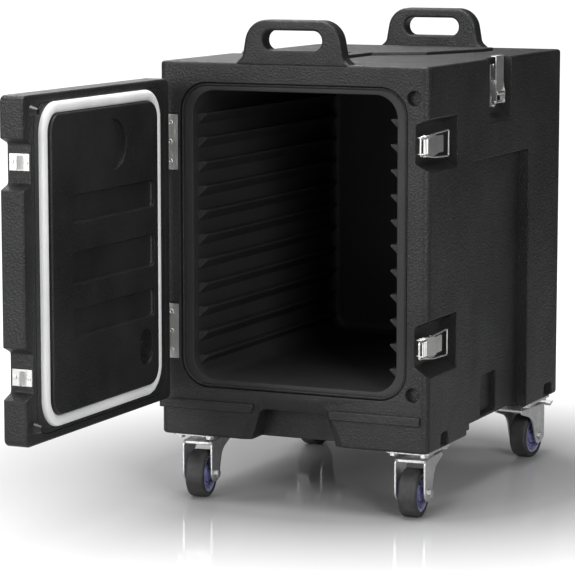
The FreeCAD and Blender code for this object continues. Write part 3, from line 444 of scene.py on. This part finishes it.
def rounded_corners(points, radius):
    """The points of an open path with its inner corners rounded."""
    points = [Vector(p) for p in points]
    path = [points[0]]
    for before, here, after in zip(points, points[1:], points[2:]):
        first = here + (before - here).normalized() * radius
        last = here + (after - here).normalized() * radius
        for k in range(BEND_STEPS + 1):
            t = k / BEND_STEPS
            path.append(first * (1 - t) ** 2 + here * 2 * t * (1 - t) + last * t ** 2)
    path.append(points[-1])
    return path


def merged(parts):
    """Several bmeshes as one."""
    whole = bmesh.new()
    for part in parts:
        mesh = bpy.data.meshes.new("part")
        part.to_mesh(mesh)
        part.free()
        whole.from_mesh(mesh)
        bpy.data.meshes.remove(mesh)
    return whole


def eased(bm, edges, width):
    """Small round on the edges of sheet metal."""
    bmesh.ops.bevel(
        bm,
        geom=edges,
        offset=width,
        segments=BEVEL_SEGMENTS,
        profile=0.5,
        affect="EDGES",
        clamp_overlap=True,
    )


def folded_sheet(stations, thickness):
    """Pressed sheet that runs along y, thick towards -x. A station is (x, y, lower z, upper z)."""
    bm = bmesh.new()
    rings = []
    for x, y, low, high in stations:
        corners = [(x, low), (x, high), (x - thickness, high), (x - thickness, low)]
        rings.append([bm.verts.new((cx, y, z)) for cx, z in corners])
    for before, after in zip(rings, rings[1:]):
        for k in range(4):
            following = (k + 1) % 4
            bm.faces.new((before[k], before[following], after[following], after[k]))
    bm.faces.new(rings[0])
    bm.faces.new(tuple(reversed(rings[-1])))
    bmesh.ops.recalc_face_normals(bm, faces=bm.faces)
    eased(bm, [e for e in bm.edges if e.calc_face_angle(0) > FOLD_ANGLE], 0.35 * MM)
    return bm


def flat_plate(outline, z0, z1):
    """Flat plate of an outline in the xy plane, with its rim eased."""
    bm = bmesh.new()
    floor = [bm.verts.new((x, y, min(z0, z1))) for x, y in outline]
    bm.faces.new(floor)
    top = bmesh.ops.extrude_face_region(bm, geom=bm.faces[:])
    moved = [v for v in top["geom"] if isinstance(v, bmesh.types.BMVert)]
    bmesh.ops.translate(bm, verts=moved, vec=(0, 0, abs(z1 - z0)))
    bmesh.ops.recalc_face_normals(bm, faces=bm.faces)
    eased(bm, bm.edges[:], 0.4 * MM)
    return bm


def crossbar(x, y, middle, half, radius):
    """Round bar along z."""
    return tube([(x, y, middle - half), (x, y, middle + half)], radius)


# ---- pieces -------------------------------------------------------------------------------------
def finish_cad_nodes():
    """Rounds the plain CAD solids' sharp edges, by widths in mm, and gives every shown node its material."""
    widths = {
        "outer_shell": 1.6,
        "door_outer_shell": 1.4,
        "door_inner_panel": 1.2,
        "inner_liner": 2.2,
        "pan_rails_left": 1.0,
        "pan_rails_right": 1.0,
        "hinge_brackets": 0.4,
        "hinge_leaves": 0.4,
        "latch_keepers": 0.4,
        "caster_plates": 0.5,
        "caster_bolts": 0.5,
    }
    for side in ("left", "right"):
        widths["stack_latch_lever_" + side] = 0.3
        widths["stack_latch_hook_" + side] = 0.3
    for corner in CORNERS:
        widths["caster_fork_" + corner] = 0.6
        widths["caster_axle_" + corner] = 0.5
        if corner.startswith("rear"):
            widths["brake_pedal_" + corner] = 0.4
    for node, width in widths.items():
        upright = node.startswith("stack_latch_hook")
        refined(node, width * MM, material="stainless_upright" if upright else None)
    for name, node in frame["nodes"].items():
        if not node.hide_render:
            dress(node, MATERIALS[SLOT_OF[name]])
    dress(frame["nodes"]["door_locating_pins"], MATERIALS["vent_plug"])


def gasket():
    """Soft ring of the door: a rounded bulb with a thin lip on each side, over the panel's step."""
    low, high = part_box("door_gasket")
    centre = ((low.y + high.y) / 2, (low.z + high.z) / 2)
    half_u, half_v = (high.y - low.y) / 2, (high.z - low.z) / 2
    corner, width, lip = 43 * MM, 14 * MM, 1.1 * MM
    groove, seat = 3.4 * MM, 3.45 * MM
    shoulder = 0.42
    foot = low.x - groove
    crest = high.x - foot
    profile = [(1.3 * MM, 0.0), (1.6 * MM, 1.2 * MM)]
    for k in range(BULB_STEPS + 1):
        angle = math.pi * k / BULB_STEPS
        out = -width / 2 + (width / 2 + lip) * math.cos(angle)
        profile.append((out, crest * (shoulder + (1 - shoulder) * math.sin(angle))))
    profile += [(-width - 1.0 * MM, 3.5 * MM), (-width, seat), (-width / 2, seat)]
    profile += [(0.05 * MM, seat), (0.05 * MM, 0.0)]
    path = ring_path(centre, half_u, half_v, corner)
    bm = swept_ring(path, profile, lambda u, v, height: (foot + height, u, v))
    add_piece("gasket_bulb", bm, "door", "gasket", replaced=("door_gasket",))


def mouth_ridge():
    """Moulded ridge that runs round the mouth, outside the land that the gasket seals on."""
    low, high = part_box("inner_liner")
    centre = (0.0, (low.z + high.z) / 2)
    half_u, half_v = (high.x - low.x) / 2, (high.z - low.z) / 2
    corner = 44 * MM
    land = low.y
    section = [(-0.2, 1.5), (-0.2, -2.6), (-0.9, -3.5), (-2.2, -3.9)]
    section += [(-3.5, -3.4), (-4.1, -2.4), (-4.3, 0.1), (-4.3, 1.5)]
    profile = [(out * MM, depth * MM) for out, depth in section]
    path = ring_path(centre, half_u, half_v, corner)
    bm = swept_ring(path, profile, lambda u, v, depth: (u, land + depth, v))
    add_piece("mouth_ridge", bm, "body", "shell_plastic")


def caster_wheels():
    """Wheel centres with the stepped rings and the bearing's seal, and rim flanges in a paler copy of the hub
    plastic, a painted highlight.

    Both sections are (radius, distance from the wheel's middle plane) in mm.
    """
    half = [(4.1, 20.9), (8.0, 20.9), (8.8, 20.1), (8.8, 12.6), (9.6, 12.0), (12.6, 12.0)]
    half += [(13.2, 11.4), (13.6, 8.4), (15.2, 7.6), (16.0, 9.4), (17.2, 9.9), (18.4, 9.2)]
    half += [(19.2, 7.2), (21.6, 6.4), (23.4, 7.0), (24.6, 9.8), (29.9, 9.0)]
    face = [(24.9, 9.0), (25.2, 12.4), (26.0, 13.5), (27.2, 13.9), (28.8, 13.8), (29.7, 13.1)]
    face += [(29.9, 12.0), (24.9, 8.4)]
    for corner in CORNERS:
        joint = JOINTS["caster_" + corner + "_roll"]
        centre, axis = joint["pos_m"], joint["axis"]
        profile = [(r * MM, t * MM) for r, t in half]
        profile += [(r, -t) for r, t in reversed(profile)]
        body = "wheel_" + corner
        node = "caster_hub_" + corner
        turned = lathe(profile, centre, axis)
        add_piece("wheel_centre_" + corner, turned, body, "hub_plastic", replaced=(node,))
        rims = []
        for side in (-1, 1):
            rims.append(lathe([(r * MM, side * t * MM) for r, t in face], centre, axis))
        # The rim flanges take the paler copy of the hub plastic, a painted highlight.
        add_piece("wheel_rims_" + corner, merged(rims), body, "hub_plastic", "hub_rim")


def latch_levers():
    """Draw latches: a pressed plate with a fold, inside a bent rim that flares to the finger bar.

    The tables are in mm from the pivot: (across, along, half height), and (across, along) for a cheek.
    """
    plate = [(1.0, -4.0, 12.6), (6.0, -1.0, 13.2), (7.6, 10.0, 13.8), (7.8, 30.0, 14.0), (8.4, 33.0, 13.6)]
    plate += [(5.2, 38.0, 13.2), (5.0, 60.0, 13.0), (6.0, 63.0, 12.8)]
    rim = [(1.0, -3.5, 14.6), (7.0, 2.0, 15.4), (9.2, 22.0, 17.8), (9.2, 46.0, 18.6), (9.4, 75.0, 19.8)]
    cheek = [(-4.5, -5.0), (5.0, -5.0), (8.4, 4.0), (8.6, 26.0), (3.0, 24.0), (-4.5, 9.0)]
    sheet, rim_radius, rim_bend = 1.4 * MM, 1.3 * MM, 3.2 * MM
    cheek_inside, cheek_outside = 13.6 * MM, 15.4 * MM
    bar_across, bar_along, bar_half, bar_radius = 3.4 * MM, 20 * MM, 17 * MM, 1.2 * MM
    for name in ("upper", "lower"):
        pivot = Vector(JOINTS["latch_lever_" + name + "_swing"]["pos_m"])
        middle = pivot.z
        stations = []
        for across, along, half in plate:
            levels = (middle - half * MM, middle + half * MM)
            stations.append((pivot.x + across * MM, pivot.y + along * MM, *levels))
        parts = [folded_sheet(stations, sheet)]
        upper = [Vector((pivot.x + a * MM, pivot.y + b * MM, middle + c * MM)) for a, b, c in rim]
        lower = [Vector((p.x, p.y, 2 * middle - p.z)) for p in upper]
        parts.append(tube(rounded_corners(upper + lower[::-1], rim_bend), rim_radius))
        outline = [(pivot.x + a * MM, pivot.y + b * MM) for a, b in cheek]
        for side in (-1, 1):
            parts.append(flat_plate(outline, middle + side * cheek_inside, middle + side * cheek_outside))
        parts.append(crossbar(pivot.x + bar_across, pivot.y + bar_along, middle, bar_half, bar_radius))
        node = "latch_lever_" + name
        add_piece("latch_handle_" + name, merged(parts), "lever_" + name, "stainless", replaced=(node,))


def latch_bails():
    """Flat-sided loops that hook over the keepers, each with two stiffening bars."""
    wire, bend, half, inset = 1.55 * MM, 3.4 * MM, 12.4 * MM, 1.6 * MM
    bar_radius, bars_along = 1.45 * MM, (15.0 * MM, 22.0 * MM)
    for name in ("upper", "lower"):
        low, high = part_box("latch_bail_" + name)
        x, middle = (low.x + high.x) / 2, (low.z + high.z) / 2
        front, back = low.y + inset, high.y - inset
        corners = [(front, -half), (front, half), (back, half), (back, -half)]
        loop = [Vector((x, y, middle + z)) for y, z in corners]
        start = (loop[0] + loop[3]) / 2
        path = rounded_corners([start, *loop, start], bend)[:-1]
        parts = [tube(path, wire, closed=True)]
        for along in bars_along:
            parts.append(crossbar(x, front + along, middle, half, bar_radius))
        node = "latch_bail_" + name
        add_piece("latch_loop_" + name, merged(parts), "bail_" + name, "stainless", replaced=(node,))


def latch_mounts():
    """Base plates of the draw latches with the ears and the pin that carry each lever."""
    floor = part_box("latch_bases")[0].x
    top = floor + 1.8 * MM
    plate_half, ear_inside, ear_outside = 11 * MM, 11.2 * MM, 13.2 * MM
    pin_half, pin_radius = 16.4 * MM, 2.0 * MM
    parts = []
    for name in ("upper", "lower"):
        pivot = Vector(JOINTS["latch_lever_" + name + "_swing"]["pos_m"])
        z = pivot.z
        near, far = pivot.y + 4 * MM, pivot.y + 58 * MM
        foot = [(floor, near), (top, near), (top, far), (floor, far)]
        parts.append(flat_plate(foot, z - plate_half, z + plate_half))
        ear = [(floor, pivot.y + 12 * MM), (floor, pivot.y - 3 * MM), (pivot.x - 1 * MM, pivot.y - 4 * MM)]
        ear += [(pivot.x + 3 * MM, pivot.y - 3 * MM), (pivot.x + 4 * MM, pivot.y + 2 * MM)]
        ear += [(pivot.x, pivot.y + 5 * MM)]
        for side in (-1, 1):
            parts.append(flat_plate(ear, z + side * ear_inside, z + side * ear_outside))
        parts.append(crossbar(*pivot, pin_half, pin_radius))
    replaced = ("latch_bases", "latch_pivot_pins")
    add_piece("latch_mounts", merged(parts), "body", "stainless", replaced=replaced)


def stack_mounts():
    """Base plates of the stacking latches, narrow enough to hide behind the straps."""
    margin, sheet, plate_half = 4 * MM, 1.5 * MM, 14 * MM
    ear_inside, ear_outside, ear_half = 14.6 * MM, 16.8 * MM, 5 * MM
    pin_half, pin_radius = 20.8 * MM, 2.0 * MM
    for side, sign in (("left", -1), ("right", 1)):
        low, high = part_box("stack_latch_base_" + side)
        floor = low.x if sign > 0 else high.x
        pivot = Vector(JOINTS["stack_latch_" + side + "_swing"]["pos_m"])
        face, outer = floor + sign * sheet, pivot.x + sign * 4 * MM
        x, y, z = pivot
        front, back = y - plate_half, y + plate_half
        plate = [(floor, front), (face, front), (face, back), (floor, back)]
        parts = [flat_plate(plate, low.z + margin, high.z - margin)]
        for end in (-1, 1):
            near, far = y + end * ear_inside, y + end * ear_outside
            ear = [(floor, near), (outer, near), (outer, far), (floor, far)]
            parts.append(flat_plate(ear, z - ear_half, z + ear_half))
        parts.append(tube([(x, y - pin_half, z), (x, y + pin_half, z)], pin_radius))
        replaced = ("stack_latch_base_" + side, "stack_latch_pin_" + side)
        add_piece("stack_mount_" + side, merged(parts), "body", "stainless", replaced=replaced)


finish_cad_nodes()
gasket()
mouth_ridge()
caster_wheels()
latch_levers()
latch_bails()
latch_mounts()
stack_mounts()


# ---- stage --------------------------------------------------------------------------------------
def make_camera():
    level = math.cos(ELEVATION)
    back = Vector((math.sin(AZIMUTH) * level, -math.cos(AZIMUTH) * level, math.sin(ELEVATION)))
    data = bpy.data.cameras.new("camera")
    data.lens = LENS_MM
    data.sensor_width = SENSOR_MM
    camera = bpy.data.objects.new("camera", data)
    camera.location = LOOK_AT + back * DISTANCE
    camera.rotation_euler = (-back).to_track_quat("-Z", "Y").to_euler()
    bpy.context.scene.collection.objects.link(camera)
    bpy.context.scene.camera = camera


def make_light(name, location, target, size, power):
    data = bpy.data.lights.new(name, "AREA")
    data.shape = "RECTANGLE"
    data.size, data.size_y = size
    data.energy = power
    light = bpy.data.objects.new(name, data)
    light.location = location
    aim = Vector(target) - Vector(location)
    light.rotation_euler = aim.to_track_quat("-Z", "Y").to_euler()
    bpy.context.scene.collection.objects.link(light)


def make_world():
    """Plain white backdrop. The light that it gives is weaker, and weakest from the shade side."""
    world = bpy.data.worlds.new("world")
    world.use_nodes = True
    nodes, links = world.node_tree.nodes, world.node_tree.links
    background = nodes["Background"]
    background.inputs["Color"].default_value = (1, 1, 1, 1)
    direction = nodes.new("ShaderNodeTexCoord")
    facing = nodes.new("ShaderNodeVectorMath")
    facing.operation = "DOT_PRODUCT"
    facing.inputs[1].default_value = SHADE_SIDE
    links.new(direction.outputs["Generated"], facing.inputs[0])
    soft = nodes.new("ShaderNodeMapRange")
    values = (*SHADE_RANGE, WORLD_LIGHT, WORLD_SHADE)
    for key, number in zip(("From Min", "From Max", "To Min", "To Max"), values):
        soft.inputs[key].default_value = number
    links.new(facing.outputs["Value"], soft.inputs["Value"])
    path = nodes.new("ShaderNodeLightPath")
    strength = nodes.new("ShaderNodeMapRange")
    strength.inputs["To Max"].default_value = WORLD_SEEN
    links.new(soft.outputs["Result"], strength.inputs["To Min"])
    links.new(path.outputs["Is Camera Ray"], strength.inputs["Value"])
    links.new(strength.outputs["Result"], background.inputs["Strength"])
    bpy.context.scene.world = world


def make_floor():
    half = FLOOR_HALF
    mesh = bpy.data.meshes.new("floor")
    corners = [(-half, -half, 0), (half, -half, 0), (half, half, 0), (-half, half, 0)]
    mesh.from_pydata(corners, [], [(0, 1, 2, 3)])
    mesh.materials.append(floor_white())
    floor = bpy.data.objects.new("floor", mesh)
    bpy.context.scene.collection.objects.link(floor)


make_camera()
for light_name, (place, aim, sides, power) in LIGHTS.items():
    make_light(light_name, place, aim, sides, power)
make_world()
make_floor()
bpy.context.scene.view_settings.view_transform = "Standard"
